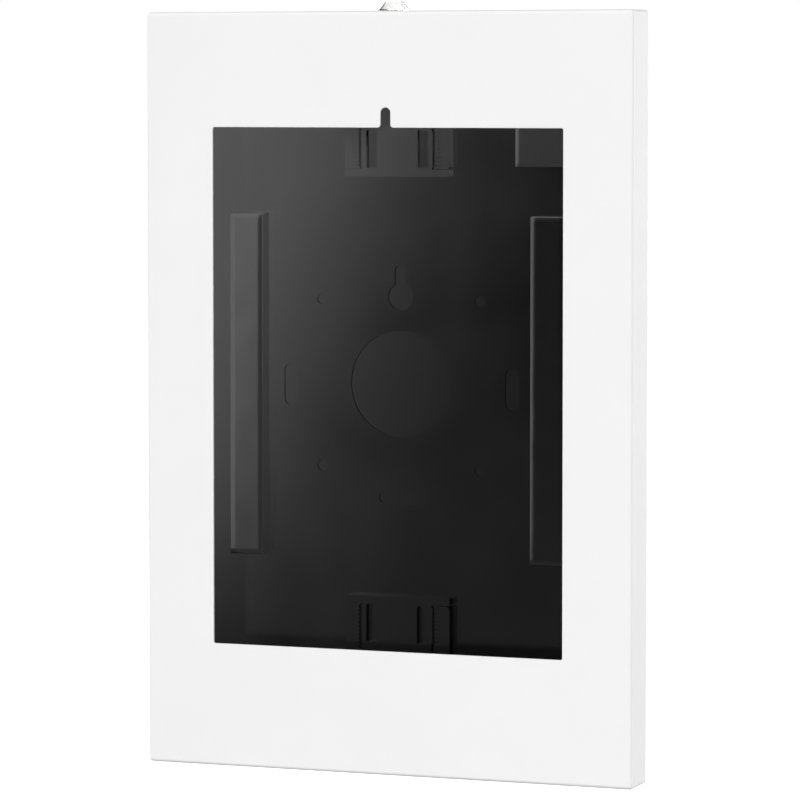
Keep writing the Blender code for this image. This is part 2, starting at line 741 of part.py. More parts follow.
def build():
    for old in list(bpy.data.objects):
        bpy.data.objects.remove(old)

    cover = front_cover()
    plate = back_plate()
    housing, rotor, nut, cam = lock_housing(), lock_plug(), lock_nut(), lock_cam()
    catch = lock_catch()
    sides = {"left": -1, "right": 1}
    studs = [hinge_stud(f"hinge_stud_{side}", way) for side, way in sides.items()]
    rivets = [rivet_piece(f"catch_rivet_{side}", way) for side, way in sides.items()]
    cam_seat = cam_foot - seat_gap
    bolt = socket_screw(
        "cam_screw", (0, cam_seat), cam_screw, cam_screw_head, cam_screw_head_height, lock_y,
        cam_screw_length, 180,
    )

    rails, sliders, pads, screws = [], [], [], []
    screw_seat = seat_y - rail_ear_sheet - seat_gap
    for end in ("top", "bottom"):
        rails.append(clamp_rail(end))
        sliders.append(clamp_slider(end))
        pads.append(jaw_pad(end))
        for side, place in zip(sides, fixing_places(end)):
            screws.append(
                socket_screw(
                    f"{end}_rail_screw_{side}", place, rail_screw, rail_screw_head,
                    rail_screw_head_height, screw_seat, -screw_seat - fixing_end_gap, 90,
                )
            )

    half_strip = strip_width / 2
    strip_z = (bay_middle - strip_length / 2, bay_middle + strip_length / 2)
    foams = [
        foam_block(
            f"foam_strip_{side}",
            (way * strip_middle - half_strip, way * strip_middle + half_strip),
            strip_z,
            strip_thickness,
        )
        for side, way in sides.items()
    ]
    pad_side = plate_half - pad_side_inset
    pad_x = (pad_side - pad_width, pad_side)
    foams.append(foam_block("corner_pad", pad_x, (pad_top - pad_height, pad_top), pad_thickness))

    hinge_place = (0, hinge_y, hinge_z)
    lock_place = (0, lock_y, barrel_foot)
    hinge = joint("cover_hinge", hinge_place)
    lock = joint("lock_turn", lock_place, hinge)
    hang([cover, housing, nut] + studs, hinge, hinge_place)
    hang([rotor, cam, bolt], lock, lock_place)
    for end, slider, pad in zip(("top", "bottom"), sliders, pads):
        place = (0, clamp_face_y, clamp_z(end, clamp_reach))
        hang([slider, pad], joint(f"{end}_clamp_slide", place), place)

    dress([cover], finish("white powder coat", (0.86, 0.86, 0.86), 0.45))
    dress([plate], finish("black powder coat", (0.022, 0.022, 0.023), 0.5))
    dress(rails + sliders, finish("black plastic", (0.018, 0.018, 0.019), 0.42))
    dress(foams, finish("black foam", (0.02, 0.02, 0.02), 0.9))
    dress(pads, finish("black rubber", (0.015, 0.015, 0.015), 0.75))
    dress([housing, rotor], finish("bright nickel", (0.78, 0.78, 0.78), 0.18, 1.0))
    dress([nut, cam, catch, bolt] + studs + rivets, finish("zinc plate", (0.62, 0.63, 0.65), 0.35, 1.0))
    dress(screws, finish("black oxide", (0.03, 0.03, 0.032), 0.45, 1.0))


build()
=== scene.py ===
# %% [markdown]
# # A lockable wall mount for a tablet
#
# The real object is two folded steel sheets: a white cover with a window, and a black back plate that
# screws to a wall. Between them are two toothed clamps, foam strips and a cam lock.
#
# The solids of every piece come ready made as a fixed frame. This lesson dresses them: it rounds their
# edges as a press and a paint coat do, makes the foam, the lock and the fixings anew in finer form, mixes
# a finish for each, and lights the whole like a studio shot. Sizes are in metres. X runs to the right, Y
# from the room towards the wall, and Z up.

# %% The frame
import math

import bmesh
import bpy
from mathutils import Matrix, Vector, noise


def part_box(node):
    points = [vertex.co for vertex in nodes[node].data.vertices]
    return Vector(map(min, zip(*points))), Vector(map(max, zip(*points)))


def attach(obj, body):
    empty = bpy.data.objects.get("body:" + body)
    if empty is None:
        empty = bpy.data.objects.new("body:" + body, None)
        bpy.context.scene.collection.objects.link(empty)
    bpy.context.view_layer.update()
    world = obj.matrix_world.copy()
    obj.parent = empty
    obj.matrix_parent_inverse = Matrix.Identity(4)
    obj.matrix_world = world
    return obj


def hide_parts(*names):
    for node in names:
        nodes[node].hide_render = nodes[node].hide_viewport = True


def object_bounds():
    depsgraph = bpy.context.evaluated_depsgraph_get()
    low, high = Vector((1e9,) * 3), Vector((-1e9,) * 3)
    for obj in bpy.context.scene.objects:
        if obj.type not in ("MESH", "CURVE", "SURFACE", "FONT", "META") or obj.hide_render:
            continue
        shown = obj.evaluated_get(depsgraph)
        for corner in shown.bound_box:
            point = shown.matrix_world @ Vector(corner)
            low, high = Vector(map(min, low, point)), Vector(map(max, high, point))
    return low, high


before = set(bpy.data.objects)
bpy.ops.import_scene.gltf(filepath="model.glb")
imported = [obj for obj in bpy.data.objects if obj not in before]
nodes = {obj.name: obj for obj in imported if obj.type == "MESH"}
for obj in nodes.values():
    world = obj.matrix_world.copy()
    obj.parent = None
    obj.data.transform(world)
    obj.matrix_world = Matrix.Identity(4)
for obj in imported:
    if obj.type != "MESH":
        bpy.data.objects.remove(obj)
solid_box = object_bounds()

# %% [markdown]
# ## The camera
#
# A long lens far away keeps the case's sides nearly parallel, as product photographs do. The camera stands
# to the right of the mount and a little over its middle. A small vertical shift stands in for part of the
# downward tilt, so that the upright edges stay upright in the picture.

# %% The camera
SENSOR = 36.0
PICTURE_PIXELS = 800
FOCAL_PIXELS = 4343.17
CAMERA_PLACE = (0.68877, -1.80903, 0.17014)
TILT_DOWN = 3.29089
TURN_LEFT = 20.87144
SHIFT = -0.08
NEAR, FAR = 0.1, 100


def to_scene(name, data):
    """A new object that holds this data, in the scene."""
    made = bpy.data.objects.new(name, data)
    bpy.context.scene.collection.objects.link(made)
    return made


eye = bpy.data.cameras.new("studio_lens")
eye.sensor_width = SENSOR
eye.lens = FOCAL_PIXELS / PICTURE_PIXELS * SENSOR
eye.shift_y = SHIFT
eye.clip_start, eye.clip_end = NEAR, FAR
camera = to_scene("camera", eye)
camera.location = CAMERA_PLACE
camera.rotation_euler = (math.radians(90 - TILT_DOWN), 0, math.radians(TURN_LEFT))
bpy.context.scene.camera = camera
print("lens", round(eye.lens, 1), "mm")


# %% [markdown]
# ## The world
#
# The background of such a shot is pure white, but a glossy black plate must not mirror it, or it would
# turn grey. One even world can't do both. A Light Path node tells the rays that come straight from the
# camera from all others, so this world is white to the camera and dim to everything else, and soft boxes do
# the lighting.

# %% The world
WHITE = (1, 1, 1, 1)
SEEN_STRENGTH, LIT_STRENGTH = 1.0, 0.03


def link(tree, start, end):
    tree.links.new(start, end)


def add(tree, kind, **values):
    """A node with some of its inputs set."""
    made = tree.nodes.new(kind)
    for name, value in values.items():
        made.inputs[name.replace("_", " ")].default_value = value
    return made


def set_world(seen, lit):
    """White at one strength to the camera and at another to all else."""
    world = bpy.data.worlds.new("studio")
    world.use_nodes = True
    tree = world.node_tree
    tree.nodes.clear()
    path = add(tree, "ShaderNodeLightPath")
    dim = add(tree, "ShaderNodeBackground", Color=WHITE, Strength=lit)
    bright = add(tree, "ShaderNodeBackground", Color=WHITE, Strength=seen)
    mix = add(tree, "ShaderNodeMixShader")
    out = add(tree, "ShaderNodeOutputWorld")
    link(tree, path.outputs["Is Camera Ray"], mix.inputs["Fac"])
    link(tree, dim.outputs[0], mix.inputs[1])
    link(tree, bright.outputs[0], mix.inputs[2])
    link(tree, mix.outputs[0], out.inputs["Surface"])
    bpy.context.scene.world = world


set_world(SEEN_STRENGTH, LIT_STRENGTH)
print("world at", SEEN_STRENGTH, "to the camera and", LIT_STRENGTH, "to all else")


# %% [markdown]
# ## The floor
#
# The floor plays the world's trick again. To the lights it is dark grey, so that it throws little light up
# at the mount, and to the camera it glows white. It is a flat card, and it is clear from behind, so that it
# doesn't hide the mount in a view from below.

# %% A finish for the cards of the set
def card_finish(name, grey, roughness, glows):
    """A grey that is clear from behind. One that glows is white to the camera alone."""
    finish = bpy.data.materials.new(name)
    finish.use_nodes = True
    tree = finish.node_tree
    skin = tree.nodes["Principled BSDF"]
    skin.inputs["Base Color"].default_value = (grey, grey, grey, 1)
    skin.inputs["Roughness"].default_value = roughness
    if glows:
        path = add(tree, "ShaderNodeLightPath")
        skin.inputs["Emission Color"].default_value = WHITE
        link(tree, path.outputs["Is Camera Ray"], skin.inputs["Emission Strength"])
    side = add(tree, "ShaderNodeNewGeometry")
    clear = add(tree, "ShaderNodeBsdfTransparent")
    mix = add(tree, "ShaderNodeMixShader")
    link(tree, side.outputs["Backfacing"], mix.inputs["Fac"])
    link(tree, skin.outputs[0], mix.inputs[1])
    link(tree, clear.outputs[0], mix.inputs[2])
    link(tree, mix.outputs[0], tree.nodes["Material Output"].inputs["Surface"])
    return finish


# %% The floor
FLOOR_DROP, FLOOR_REACH = 0.22, 9.0
FLOOR_GREY, FLOOR_ROUGHNESS = 0.12, 0.9


def set_cards(name, outlines, grey, roughness, glows=False):
    """Flat cards of the set, one in each outline."""
    faces = []
    for outline in outlines:
        start = sum(len(face) for face in faces)
        faces.append(range(start, start + len(outline)))
    mesh = bpy.data.meshes.new(name)
    mesh.from_pydata([point for outline in outlines for point in outline], [], faces)
    card = to_scene(name, mesh)
    mesh.materials.append(card_finish(name, grey, roughness, glows))
    return card


floor_z = solid_box[0].z - FLOOR_DROP
floor_outline = [
    (x * FLOOR_REACH, y * FLOOR_REACH, floor_z) for x, y in ((-1, -1), (1, -1), (1, 1), (-1, 1))
]
set_cards("studio_floor", [floor_outline], FLOOR_GREY, FLOOR_ROUGHNESS, glows=True)
print("floor at", round(floor_z, 3))


# %% [markdown]
# ## Painted shade: dark cards in the plate's holes
#
# On a wall, the plate's open holes look about as dark as the plate. In a white studio the floor would show
# through them, and their walls would glint in the lights behind. One big card behind the plate would hide
# the floor and leave the glints. So each hole has a card of its own inside it, just behind the plate's
# front. The cards are painted shade: dark sheets that stand in for the shade seen through the holes.
#
# The outlines are read from the solid. An edge is on a hole's rim where one of its two faces lies along the
# sheet and the other stands across it, and walking from point to point gives the loops in order. The small
# holes have screws and rivets in them and need no card.

# %% The plate's holes
MERGE = 0.000002
ON_LEVEL = 0.000001
LIES_FLAT = 0.5
OPEN_HOLE = 0.005


def merged(node):
    """A solid's shape with its loose triangles joined."""
    shape = bmesh.new()
    shape.from_mesh(nodes[node].data)
    bmesh.ops.remove_doubles(shape, verts=shape.verts, dist=MERGE)
    return shape


def openings(node, level):
    """The outlines of a sheet's holes at a depth, each in order and turned to the front."""
    shape = merged(node)
    after = {}
    for edge in shape.edges:
        flat_faces = sorted(abs(face.normal.y) > LIES_FLAT for face in edge.link_faces)
        if flat_faces == [False, True] and all(abs(end.co.y - level) < ON_LEVEL for end in edge.verts):
            for one, other in (edge.verts, reversed(edge.verts)):
                after.setdefault(one, []).append(other)
    outlines = []
    while after:
        point = next(iter(after))
        beside_first, path = after[point][:], []
        while point:
            path.append(point)
            point = next((end for end in after.pop(point) if end in after), None)
        if len(path) > 2 and path[-1] in beside_first:
            outline = [point.co.copy() for point in path]
            turn = sum(a.x * b.z - b.x * a.z for a, b in zip(outline, outline[1:] + outline[:1]))
            outlines.append(outline if turn > 0 else outline[::-1])
    shape.free()
    return outlines


def width_of(outline):
    return max(point.x for point in outline) - min(point.x for point in outline)


wall_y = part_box("back_plate")[1].y
outlines = openings("back_plate", wall_y)
holes = [outline for outline in outlines if width_of(outline) > OPEN_HOLE]
print(len(outlines), "holes in the plate,", len(holes), "of them open")


# %% Painted shade: dark cards in the holes
PLATE_SHEET = 0.0015
CARD_DEPTH, CARD_MARGIN = 0.0004, 0.0002
HOLE_SHADE_GREY, CARD_ROUGHNESS = 0.004, 0.20


def widened(outline, margin, depth):
    """An outline moved away from its middle and back to a depth."""
    centre = sum(outline, Vector()) / len(outline)
    wide = [point + (point - centre).normalized() * margin for point in outline]
    return [(point.x, depth, point.z) for point in wide]


card_y = wall_y - PLATE_SHEET + CARD_DEPTH
# Painted shade: each open hole gets a dark card that stands in for the shade seen through it.
dark_cards = set_cards(
    "dark_cards", [widened(hole, CARD_MARGIN, card_y) for hole in holes], HOLE_SHADE_GREY, CARD_ROUGHNESS
)
print(len(dark_cards.data.polygons), "dark cards at a depth of", round(card_y, 4))


# %% [markdown]
# ## Finishes
#
# A material here is one Principled shader with a few noise textures that read Object coordinates, in
# metres, so that a grain of 0.5 mm is 0.5 mm on every piece. A value that is the same all over is set on
# the shader's own socket. Only what varies is wired: a faint mottle of the colour, a slightly uneven
# gloss, and a bump for the grain.

# %% A shader and its textures
def new_finish(name, colour, roughness, metallic=0.0, specular=0.5):
    """A plain Principled material, its tree and its Object coordinates."""
    finish = bpy.data.materials.new(name)
    finish.use_nodes = True
    tree = finish.node_tree
    skin = tree.nodes["Principled BSDF"]
    skin.inputs["Base Color"].default_value = (*colour, 1)
    skin.inputs["Roughness"].default_value = roughness
    skin.inputs["Metallic"].default_value = metallic
    skin.inputs["Specular IOR Level"].default_value = specular
    return finish, tree, add(tree, "ShaderNodeTexCoord").outputs["Object"]


def grain(tree, spot, per_metre, detail):
    """A noise that repeats so many times in a metre."""
    made = add(tree, "ShaderNodeTexNoise", Scale=per_metre, Detail=detail)
    link(tree, spot, made.inputs["Vector"])
    return made.outputs["Fac"]


def lighter(colour, times):
    return tuple(part * times for part in colour)


# %% What follows a texture
NOISE_LOW, NOISE_HIGH = 0.3, 0.7


def spread(tree, source, low_value, high_value):
    """A number that follows a texture between two values."""
    made = add(
        tree, "ShaderNodeMapRange",
        From_Min=NOISE_LOW, From_Max=NOISE_HIGH, To_Min=low_value, To_Max=high_value,
    )
    link(tree, source, made.inputs["Value"])
    return made.outputs["Result"]


def mottle(tree, source, first, second, start=0.35, end=0.65):
    """A colour that follows a texture between two colours."""
    made = add(tree, "ShaderNodeValToRGB")
    for stop, (spot, colour) in zip(made.color_ramp.elements, ((start, first), (end, second))):
        stop.position = spot
        stop.color = (*colour, 1)
    link(tree, source, made.inputs["Fac"])
    return made.outputs["Color"]


def bump(tree, source, depth, under=None):
    """A bump of so many metres, over another one if there is one."""
    made = add(tree, "ShaderNodeBump", Strength=1.0, Distance=depth)
    link(tree, source, made.inputs["Height"])
    if under:
        link(tree, under, made.inputs["Normal"])
    return made.outputs["Normal"]


def wire(tree, colour, roughness, normal):
    """The shader's colour, gloss and bump follow their textures."""
    skin = tree.nodes["Principled BSDF"]
    link(tree, colour, skin.inputs["Base Color"])
    link(tree, roughness, skin.inputs["Roughness"])
    link(tree, normal, skin.inputs["Normal"])


# %% [markdown]
# ## Powder coats
#
# Both sheets are powder coated: the paint is dusted on dry and melted in an oven. As it flows together it
# keeps a soft orange peel of about 2 mm under a fine grit. Real waves in the mesh would need millions of
# faces for some hundredths of a millimetre, so two bumps make them, the grit over the peel. The white is
# satin. The black is glossier, and its peel is shallower, since the plate has a clear sheen.

# %% Powder coats
PEEL_PER_METRE, GRIT_PER_METRE, CLOUD_PER_METRE = 420, 2600, 22
COAT_GLOSSIER, COAT_DULLER = 0.02, 0.03


def powder_coat(name, colour, other, roughness, specular, peel, grit):
    """Baked powder: an orange peel under a grit, and a slow cloud in colour and gloss."""
    finish, tree, spot = new_finish(name, colour, roughness, specular=specular)
    wide = grain(tree, spot, PEEL_PER_METRE, detail=1.0)
    fine = grain(tree, spot, GRIT_PER_METRE, detail=2.0)
    cloud = grain(tree, spot, CLOUD_PER_METRE, detail=3.0)
    wire(
        tree,
        mottle(tree, cloud, colour, other),
        spread(tree, cloud, roughness - COAT_GLOSSIER, roughness + COAT_DULLER),
        bump(tree, fine, grit, under=bump(tree, wide, peel)),
    )
    return finish


white_coat = powder_coat(
    "white_powder_coat", (0.855, 0.855, 0.855), (0.865, 0.865, 0.865),
    roughness=0.5, specular=0.25, peel=0.00002, grit=0.000004,
)
black_coat = powder_coat(
    "black_powder_coat", (0.0028, 0.0028, 0.0030), (0.0034, 0.0034, 0.0036),
    roughness=0.176, specular=0.5, peel=0.000006, grit=0.000002,
)
print("powder coats:", white_coat.name, black_coat.name)


# %% [markdown]
# ## Plastic, rubber and foam
#
# The clamps are moulded plastic and their jaws are faced with rubber. Both carry the etched grain of the
# steel tool that they were made in, so one recipe serves for both, with a coarser and deeper grain on the
# rubber. The foam is cut from a closed-cell sheet. A Voronoi texture gives its cells of about half a
# millimetre, and a soft noise beneath them the slight unevenness of its skin.

# %% Moulded plastic and rubber
FLOW_PER_METRE = 45
FLOW_LIGHTER = 1.25
MOULD_GLOSSIER, MOULD_DULLER = 0.04, 0.05


def moulded(name, colour, roughness, specular, per_metre, depth):
    """Moulded plastic or rubber with the etched grain of its tool."""
    finish, tree, spot = new_finish(name, colour, roughness, specular=specular)
    etched = grain(tree, spot, per_metre, detail=3.0)
    flow = grain(tree, spot, FLOW_PER_METRE, detail=2.0)
    wire(
        tree,
        mottle(tree, flow, colour, lighter(colour, FLOW_LIGHTER)),
        spread(tree, etched, roughness - MOULD_GLOSSIER, roughness + MOULD_DULLER),
        bump(tree, etched, depth),
    )
    return finish


black_plastic = moulded(
    "black_moulded_plastic", (0.0045, 0.0045, 0.0047),
    roughness=0.18, specular=0.45, per_metre=3200, depth=0.000003,
)
black_rubber = moulded(
    "black_moulded_rubber", (0.008, 0.008, 0.008),
    roughness=0.5, specular=0.5, per_metre=1800, depth=0.00001,
)
print("moulded finishes:", black_plastic.name, black_rubber.name)


# %% Closed-cell foam
CELLS_PER_METRE, SOFT_PER_METRE = 2200.0, 300
CELL_DEPTH, SOFT_DEPTH = 0.000004, 0.000008
CELL_LIGHTER, CELL_CORE, CELL_WALL = 1.15, 0.1, 0.6


def foam_finish(name, colour, roughness, uneven):
    """Closed-cell foam: cut cells over a soft unevenness, with painted shade in the cells' pits."""
    finish, tree, spot = new_finish(name, colour, roughness)
    cells = add(tree, "ShaderNodeTexVoronoi", Scale=CELLS_PER_METRE, Randomness=1.0)
    link(tree, spot, cells.inputs["Vector"])
    soft = grain(tree, spot, SOFT_PER_METRE, detail=3.0)
    cut = cells.outputs["Distance"]
    wire(
        tree,
        # Painted shade: each cell's core, the low point of its bump, is coloured darker than its walls.
        mottle(tree, cut, colour, lighter(colour, CELL_LIGHTER), CELL_CORE, CELL_WALL),
        spread(tree, soft, roughness - uneven, roughness + uneven),
        bump(tree, cut, CELL_DEPTH, under=bump(tree, soft, SOFT_DEPTH)),
    )
    return finish


black_foam = foam_finish("black_closed_cell_foam", (0.005, 0.005, 0.005), roughness=0.175, uneven=0.01)
print("foam:", black_foam.name)


# %% [markdown]
# ## Metals
#
# The lock is plated with bright nickel, its hidden fittings and the rivets and studs with zinc, and the
# rails' screws are blackened. A plated layer is never quite one tint, so a slow noise drifts between two
# near ones, and a fine noise gives the faint grain that keeps the reflections from being a perfect mirror.

# %% Metals
DRIFT_PER_METRE = 160


def plated(name, first, second, roughness, uneven, per_metre, depth):
    """Plated metal: a tint that drifts over the surface and a fine grain."""
    finish, tree, spot = new_finish(name, first, roughness, metallic=1.0)
    drift = grain(tree, spot, DRIFT_PER_METRE, detail=2.0)
    fine = grain(tree, spot, per_metre, detail=3.0)
    wire(
        tree,
        mottle(tree, drift, first, second),
        spread(tree, fine, roughness - uneven, roughness + uneven),
        bump(tree, fine, depth),
    )
    return finish


nickel = plated(
    "bright_nickel", (0.80, 0.79, 0.77), (0.84, 0.83, 0.82),
    roughness=0.26, uneven=0.04, per_metre=1500, depth=0.000002,
)
zinc = plated(
    "zinc_plate", (0.58, 0.60, 0.63), (0.66, 0.66, 0.63),
    roughness=0.36, uneven=0.08, per_metre=900, depth=0.000006,
)
black_oxide = plated(
    "black_oxide", (0.025, 0.025, 0.028), (0.035, 0.034, 0.034),
    roughness=0.42, uneven=0.06, per_metre=1400, depth=0.000004,
)
print("metals:", nickel.name, zinc.name, black_oxide.name)


# %% [markdown]
# ## Sheets with softened edges
#
# No real edge is perfectly sharp. A laser-cut sheet has its edges rounded by the paint, and a moulded
# piece by its tool. Each of these pieces is a copy of its solid. Its loose triangles are merged, flat
# stretches become single faces, and a narrow bevel rounds every edge that turns by more than 30 degrees.
# Weighted normals then keep the big faces flat right up to the bevel. A bevel can't be added to the frame's
# own solid, which stays as it is and is only hidden.

# %% A copy of a solid
SAME_PLANE = 0.3
EDGE_TURN = 30
ON_CREST = 0.00002


def copied(name, node, finish, fit):
    """A merged copy of a solid. fit moves the points at one |x| to another."""
    mesh = nodes[node].data.copy()
    mesh.name = name
    shape = merged(node)
    bmesh.ops.dissolve_limit(
        shape, verts=shape.verts, edges=shape.edges, angle_limit=math.radians(SAME_PLANE),
        use_dissolve_boundaries=False,
    )
    for point in shape.verts:
        if fit and abs(abs(point.co.x) - fit[0]) < ON_CREST:
            point.co.x = math.copysign(fit[1], point.co.x)
    shape.to_mesh(mesh)
    shape.free()
    if "custom_normal" in mesh.attributes:
        mesh.attributes.remove(mesh.attributes["custom_normal"])
    mesh.materials.clear()
    mesh.materials.append(finish)
    mesh.shade_smooth()
    return to_scene(name, mesh)


# %% Softened edges
BEVEL_SEGMENTS = 2
AREA_WEIGHT, SAME_AREA = 100, 0.00001


def plain_mesh(maker):
    """The object with its modifiers worked into its mesh."""
    seen = maker.evaluated_get(bpy.context.evaluated_depsgraph_get())
    mesh = bpy.data.meshes.new_from_object(seen)
    maker.modifiers.clear()
    old = maker.data
    maker.data = mesh
    bpy.data.meshes.remove(old)
    return maker


def softened(name, node, width, finish, fit=None):
    """A copy of a solid, its edges rounded to a width, or sharp where the width is 0."""
    piece = copied(name, node, finish, fit)
    if width:
        edge = piece.modifiers.new("edge", "BEVEL")
        edge.width = width
        edge.segments = BEVEL_SEGMENTS
        edge.limit_method = "ANGLE"
        edge.angle_limit = math.radians(EDGE_TURN)
    else:
        piece.data.set_sharp_from_angle(angle=math.radians(EDGE_TURN))
    flat = piece.modifiers.new("flat", "WEIGHTED_NORMAL")
    flat.mode = "FACE_AREA"
    flat.weight = AREA_WEIGHT
    flat.thresh = SAME_AREA
    flat.keep_sharp = True
    return plain_mesh(piece)


# %% The cover and the plate
COVER_EDGE, PLATE_EDGE = 0.00025, 0.0002


def dress(piece, body, slot, *replaced):
    """Hands a finished piece to the frame in place of its solids."""
    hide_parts(*replaced)
    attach(piece, body)
    print(piece.name, len(piece.data.polygons), "faces")
    return piece


cover = softened("cover_sheet", "front_cover", COVER_EDGE, white_coat)
dress(cover, "cover", "white_coat", "front_cover")
plate = softened("plate_sheet", "back_plate", PLATE_EDGE, black_coat)
dress(plate, "plate", "black_coat", "back_plate")


# %% [markdown]
# ## The clamps
#
# Each clamp is a toothed rail, a slider with two sprung arms whose teeth face the rail's, and a rubber
# facing on its jaw. The teeth are finer than a bevel can follow, so the rail and the slider keep their edges
# sharp. The solids leave 0.3 mm between the crests, which lets the slider move. The real ones look meshed,
# so fit draws the rail's crests in to 0.05 mm, which still touches nothing.

# %% The clamps
SLIDER_CREST, RAIL_CREST = 0.0174, 0.0177
CREST_GAP = 0.00005
FACING_EDGE = 0.00015
clamp_pieces = []
for end in ("top", "bottom"):
    rail = softened(
        f"{end}_rail", f"{end}_clamp_rail", 0, black_plastic, fit=(RAIL_CREST, SLIDER_CREST + CREST_GAP)
    )
    dress(rail, "plate", "black_plastic", f"{end}_clamp_rail")
    slider = softened(f"{end}_slider", f"{end}_clamp_slider", 0, black_plastic)
    dress(slider, f"{end}_clamp", "black_plastic", f"{end}_clamp_slider")
    facing = softened(f"{end}_jaw_facing", f"{end}_jaw_pad", FACING_EDGE, black_rubber)
    dress(facing, f"{end}_clamp", "black_rubber", f"{end}_jaw_pad")
    clamp_pieces += [rail, slider, facing]


# %% [markdown]
# ## Foam
#
# The strips behind the tablet are die-cut from a sheet of closed-cell foam and glued on. Their long edges
# are a little rounded and their faces very slightly uneven. A box with a close grid of cuts is drawn onto
# a smaller core box, so that every point near an edge lies at the same distance from the core: that rounds
# the edges exactly. A slow noise then moves the front face by some hundredths of a millimetre. The edges
# that lie on the plate stay square.

# %% A box with a grid of cuts
FOAM_PITCH = 0.002
EDGE_CUTS = (0.25, 0.55, 1.0)
CUT_REACH = 0.0000001


def steps(start, end, edge):
    """Where a side is cut: closely by its ends and evenly between them."""
    near = [edge * part for part in EDGE_CUTS]
    inner = end - start - 2 * edge
    run = max(1, round(inner / FOAM_PITCH))
    between = [start + edge + inner * i / run for i in range(1, run)]
    return [start + part for part in near] + between + [end - part for part in near]


def cut_box(low, high, edge):
    """A box between two corners, cut across each axis."""
    shape = bmesh.new()
    for corner in bmesh.ops.create_cube(shape, size=1.0)["verts"]:
        corner.co = [b if part > 0 else a for part, a, b in zip(corner.co, low, high)]
    for axis in range(3):
        across = Vector([float(axis == i) for i in range(3)])
        for spot in steps(low[axis], high[axis], edge):
            bmesh.ops.bisect_plane(
                shape, geom=shape.verts[:] + shape.edges[:] + shape.faces[:], dist=CUT_REACH,
                plane_co=across * spot, plane_no=across,
            )
    return shape


# %% Foam pads
UNEVEN_PER_METRE = 90
FOAM_SHARP = 50


def from_shape(name, shape, finish, sharp):
    """A shape as an object with a finish, smooth but for edges that turn more than an angle."""
    bmesh.ops.recalc_face_normals(shape, faces=shape.faces)
    mesh = bpy.data.meshes.new(name)
    shape.to_mesh(mesh)
    shape.free()
    mesh.shade_smooth()
    mesh.set_sharp_from_angle(angle=math.radians(sharp))
    mesh.materials.append(finish)
    return to_scene(name, mesh)


def foam_pad(name, node, edge, uneven):
    """A pad of foam in the place of a solid, square where it lies on the plate."""
    low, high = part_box(node)
    shape = cut_box(low, high, edge)
    for point in shape.verts:
        spot = point.co.copy()
        core = Vector((
            min(max(spot.x, low.x + edge), high.x - edge),
            max(spot.y, low.y + edge),
            min(max(spot.z, low.z + edge), high.z - edge),
        ))
        out = spot - core
        if out.length > 0:
            point.co = core + out.normalized() * edge
        if spot.y < high.y - edge:
            dip = uneven * (0.5 + 0.5 * noise.noise(spot * UNEVEN_PER_METRE))
            point.co += (core - point.co) * min(1.0, dip / edge)
    pad = from_shape(name, shape, black_foam, FOAM_SHARP)
    dress(pad, "plate", "black_foam", node)
    return pad


left_foam = foam_pad("left_foam", "foam_strip_left", edge=0.0007, uneven=0.00008)
right_foam = foam_pad("right_foam", "foam_strip_right", edge=0.0007, uneven=0.00008)
corner_foam = foam_pad("corner_foam", "corner_pad", edge=0.0003, uneven=0.00004)


# %% [markdown]
# ## The lock's housing
#
# The lock is turned brass, plated bright: a tapered bezel outside, and below it a threaded barrel with
# two flats that stop it turning in the cover's hole. A lathe makes the real one, so a profile spun about
# the lock's axis makes this one. The thread is a wave on the barrel's radius that climbs one pitch in a
# turn, and the flats come from holding every point between two planes.

# %% The lock's profile
SEAT_LIFT, PLUG_PLAY = 0.0003, 0.0002
lock_low, lock_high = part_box("lock_housing")
plug_low, plug_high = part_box("lock_plug")
cover_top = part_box("front_cover")[1].z
seat = cover_top + SEAT_LIFT
tip = lock_high.z
base = (lock_high.x - lock_low.x) / 2
bore = (plug_high.x - plug_low.x) / 2 + PLUG_PLAY
BARREL, BEZEL_TOP = 0.0058, 0.00455
FOOT_CHAMFER, THREAD_START, THREAD_RUN, THREAD_RINGS = 0.0005, 0.0006, 0.0134, 84
NIP, RIM, RIM_TOP = 0.0001, 0.0004, 0.00052
TOP_ROUND, TOP_LIP, MOUTH = 0.00016, 0.00003, 0.0002

barrel_foot = [
    (bore, lock_low.z), (BARREL - FOOT_CHAMFER, lock_low.z), (BARREL, lock_low.z + FOOT_CHAMFER)
]
barrel_side = [
    (BARREL, lock_low.z + THREAD_START + THREAD_RUN * i / THREAD_RINGS) for i in range(THREAD_RINGS)
]
bezel_rim = [
    (BARREL, seat), (base - NIP, seat), (base, seat + NIP), (base, seat + RIM), (base - NIP, seat + RIM_TOP)
]
bezel_face = [
    (BEZEL_TOP + TOP_ROUND, tip - TOP_ROUND), (BEZEL_TOP, tip - TOP_LIP), (BEZEL_TOP - NIP, tip),
    (bore + MOUTH, tip), (bore, tip - MOUTH),
]
lock_profile = barrel_foot + barrel_side + bezel_rim + bezel_face
print("lock profile of", len(lock_profile), "points,", round((tip - lock_low.z) * 1000, 1), "mm long")


# %% The housing, turned and threaded
LOCK_SIDES, LOCK_SHARP = 96, 40
PITCH, THREAD_DEPTH, FLAT = 0.0008, 0.00022, 0.0052
PLAIN_UNDER_SEAT, FLATS_UNDER_SEAT, BARREL_SLACK = 0.0022, 0.0001, 0.0004
lock_axis = ((lock_low.x + lock_high.x) / 2, (lock_low.y + lock_high.y) / 2)


def thread_cut(radius, height, turn):
    """How far the thread cuts into the barrel."""
    threaded = lock_low.z + THREAD_START < height < seat - PLAIN_UNDER_SEAT
    if radius < BARREL - BARREL_SLACK or not threaded:
        return 0.0
    wave = (height / PITCH - turn / math.tau) % 1.0
    return -THREAD_DEPTH * (1 - abs(2 * wave - 1))


def lock_ring(shape, radius, height):
    """The points of one height about the lock's axis, held between the flats below the seat."""
    ring = []
    for i in range(LOCK_SIDES):
        turn = math.tau * i / LOCK_SIDES
        far = radius + thread_cut(radius, height, turn)
        x, y = far * math.cos(turn), far * math.sin(turn)
        if height < seat - FLATS_UNDER_SEAT:
            y = min(max(y, -FLAT), FLAT)
        ring.append(shape.verts.new((lock_axis[0] + x, lock_axis[1] + y, height)))
    return ring


